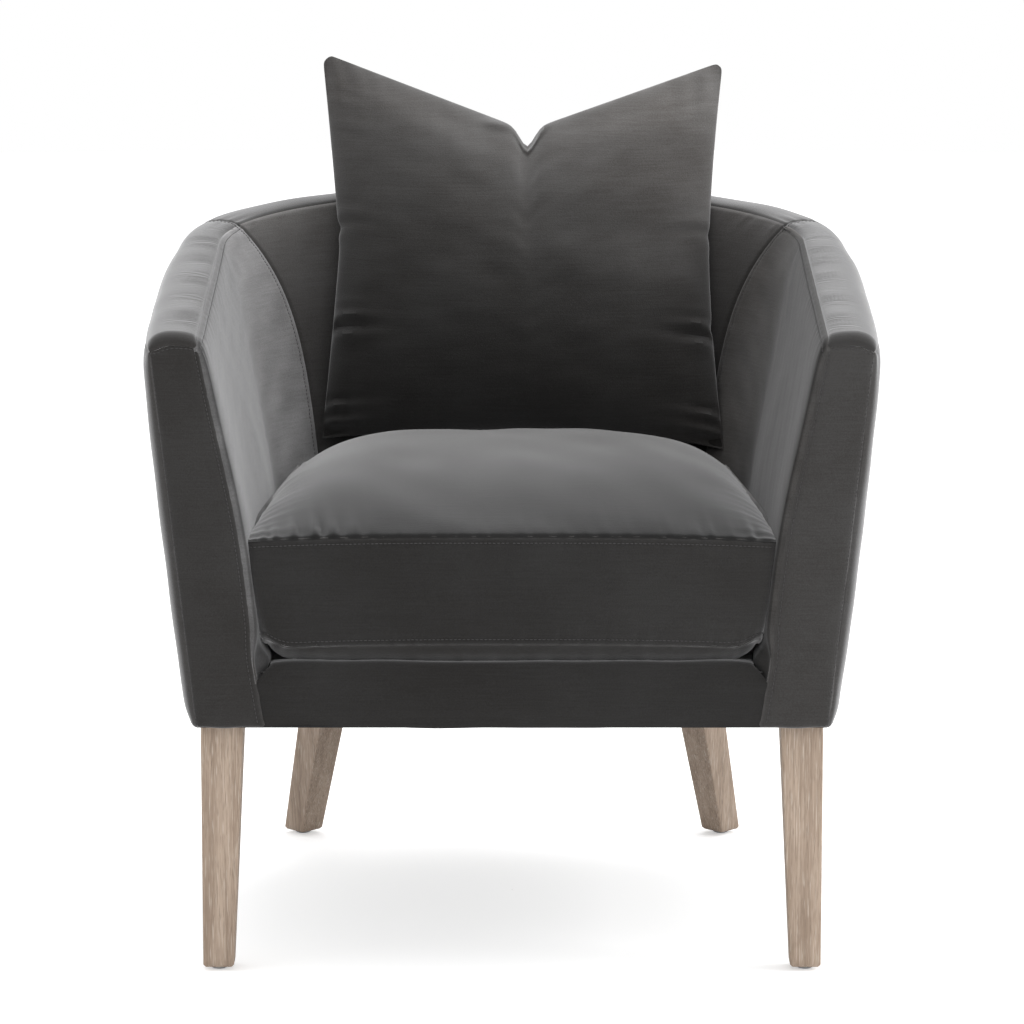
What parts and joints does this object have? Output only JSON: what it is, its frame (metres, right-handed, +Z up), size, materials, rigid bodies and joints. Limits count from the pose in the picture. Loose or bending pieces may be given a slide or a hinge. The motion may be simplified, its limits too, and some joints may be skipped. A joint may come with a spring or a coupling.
{
  "type": "upholstered armchair",
  "caption": "Barrel-back upholstered armchair with a flared padded tub, a loose box seat cushion, a loose back pillow and tapered wooden legs.",
  "frame": {"origin": "on the floor, below the middle of the chair's overall width and depth", "axes": "+X to the right of someone facing the chair's front, +Y towards the back, +Z up; the front faces -Y"},
  "size_m": [0.7084, 0.6839, 0.8504],
  "materials": {
    "velvet": "matte",
    "oak": "matte",
    "hardwood": "matte",
    "foam": "matte",
    "insert": "matte",
    "felt": "matte",
    "webbing": "matte",
    "dust_cloth": "matte",
    "zip_tape": "matte",
    "steel": "satin",
    "nylon": "satin"
  },
  "bodies": {
    "tub": {"front_rail": "hardwood", "left_seat_rail": "hardwood", "right_seat_rail": "hardwood", "back_seat_rail": "hardwood", "left_top_rail": "hardwood", "right_top_rail": "hardwood", "back_top_rail": "hardwood", "left_front_post": "hardwood", "right_front_post": "hardwood", "left_rear_post": "hardwood", "right_rear_post": "hardwood", "back_stile": "hardwood", "left_front_leg_block": "hardwood", "right_front_leg_block": "hardwood", "left_rear_leg_block": "hardwood", "right_rear_leg_block": "hardwood", "long_webbing": "webbing", "cross_webbing": "webbing", "deck_pad": "felt", "deck_cover": "velvet", "dust_cover": "dust_cloth", "front_rail_cover": "velvet", "left_inside_pad": "foam", "right_inside_pad": "foam", "back_inside_pad": "foam", "left_outside_pad": "felt", "right_outside_pad": "felt", "back_outside_pad": "felt", "left_top_pad": "foam", "right_top_pad": "foam", "back_top_pad": "foam", "left_inside_cover": "velvet", "right_inside_cover": "velvet", "back_inside_cover": "velvet", "left_outside_cover": "velvet", "right_outside_cover": "velvet", "back_outside_cover": "velvet", "left_top_band": "velvet", "right_top_band": "velvet", "back_top_band": "velvet", "left_arm_front": "velvet", "right_arm_front": "velvet", "left_front_leg": "oak", "right_front_leg": "oak", "left_rear_leg": "oak", "right_rear_leg": "oak", "leg_bolts": "steel", "tee_nuts": "steel", "glides": "nylon"},
    "cushion": {"cushion_top_panel": "velvet", "cushion_bottom_panel": "velvet", "cushion_boxing": "velvet", "cushion_core": "foam", "cushion_zip": "zip_tape"},
    "cushion_slider": {"cushion_zip_slider": "steel"},
    "pillow": {"pillow_front_panel": "velvet", "pillow_back_panel": "velvet", "pillow_insert": "insert", "pillow_zip": "zip_tape"},
    "pillow_slider": {"pillow_zip_slider": "steel"}
  },
  "joints": [
    {"name": "cushion_lift", "type": "slide", "parent": "tub", "child": "cushion", "axis": [0, 0, 1], "range_m": [0, 0.42]},
    {"name": "pillow_lift", "type": "slide", "parent": "cushion", "child": "pillow", "axis": [0, 0, 1], "range_m": [0, 0.3]},
    {"name": "cushion_zip_pull", "type": "hinge", "parent": "cushion", "child": "cushion_slider", "pos_m": [0, -0.09716, 0.3806], "axis": [0, 0, 1], "range_deg": [0, 36.32]},
    {"name": "pillow_zip_pull", "type": "slide", "parent": "pillow", "child": "pillow_slider", "axis": [-1, 0, 0], "range_m": [0, 0.24]}
  ]
}
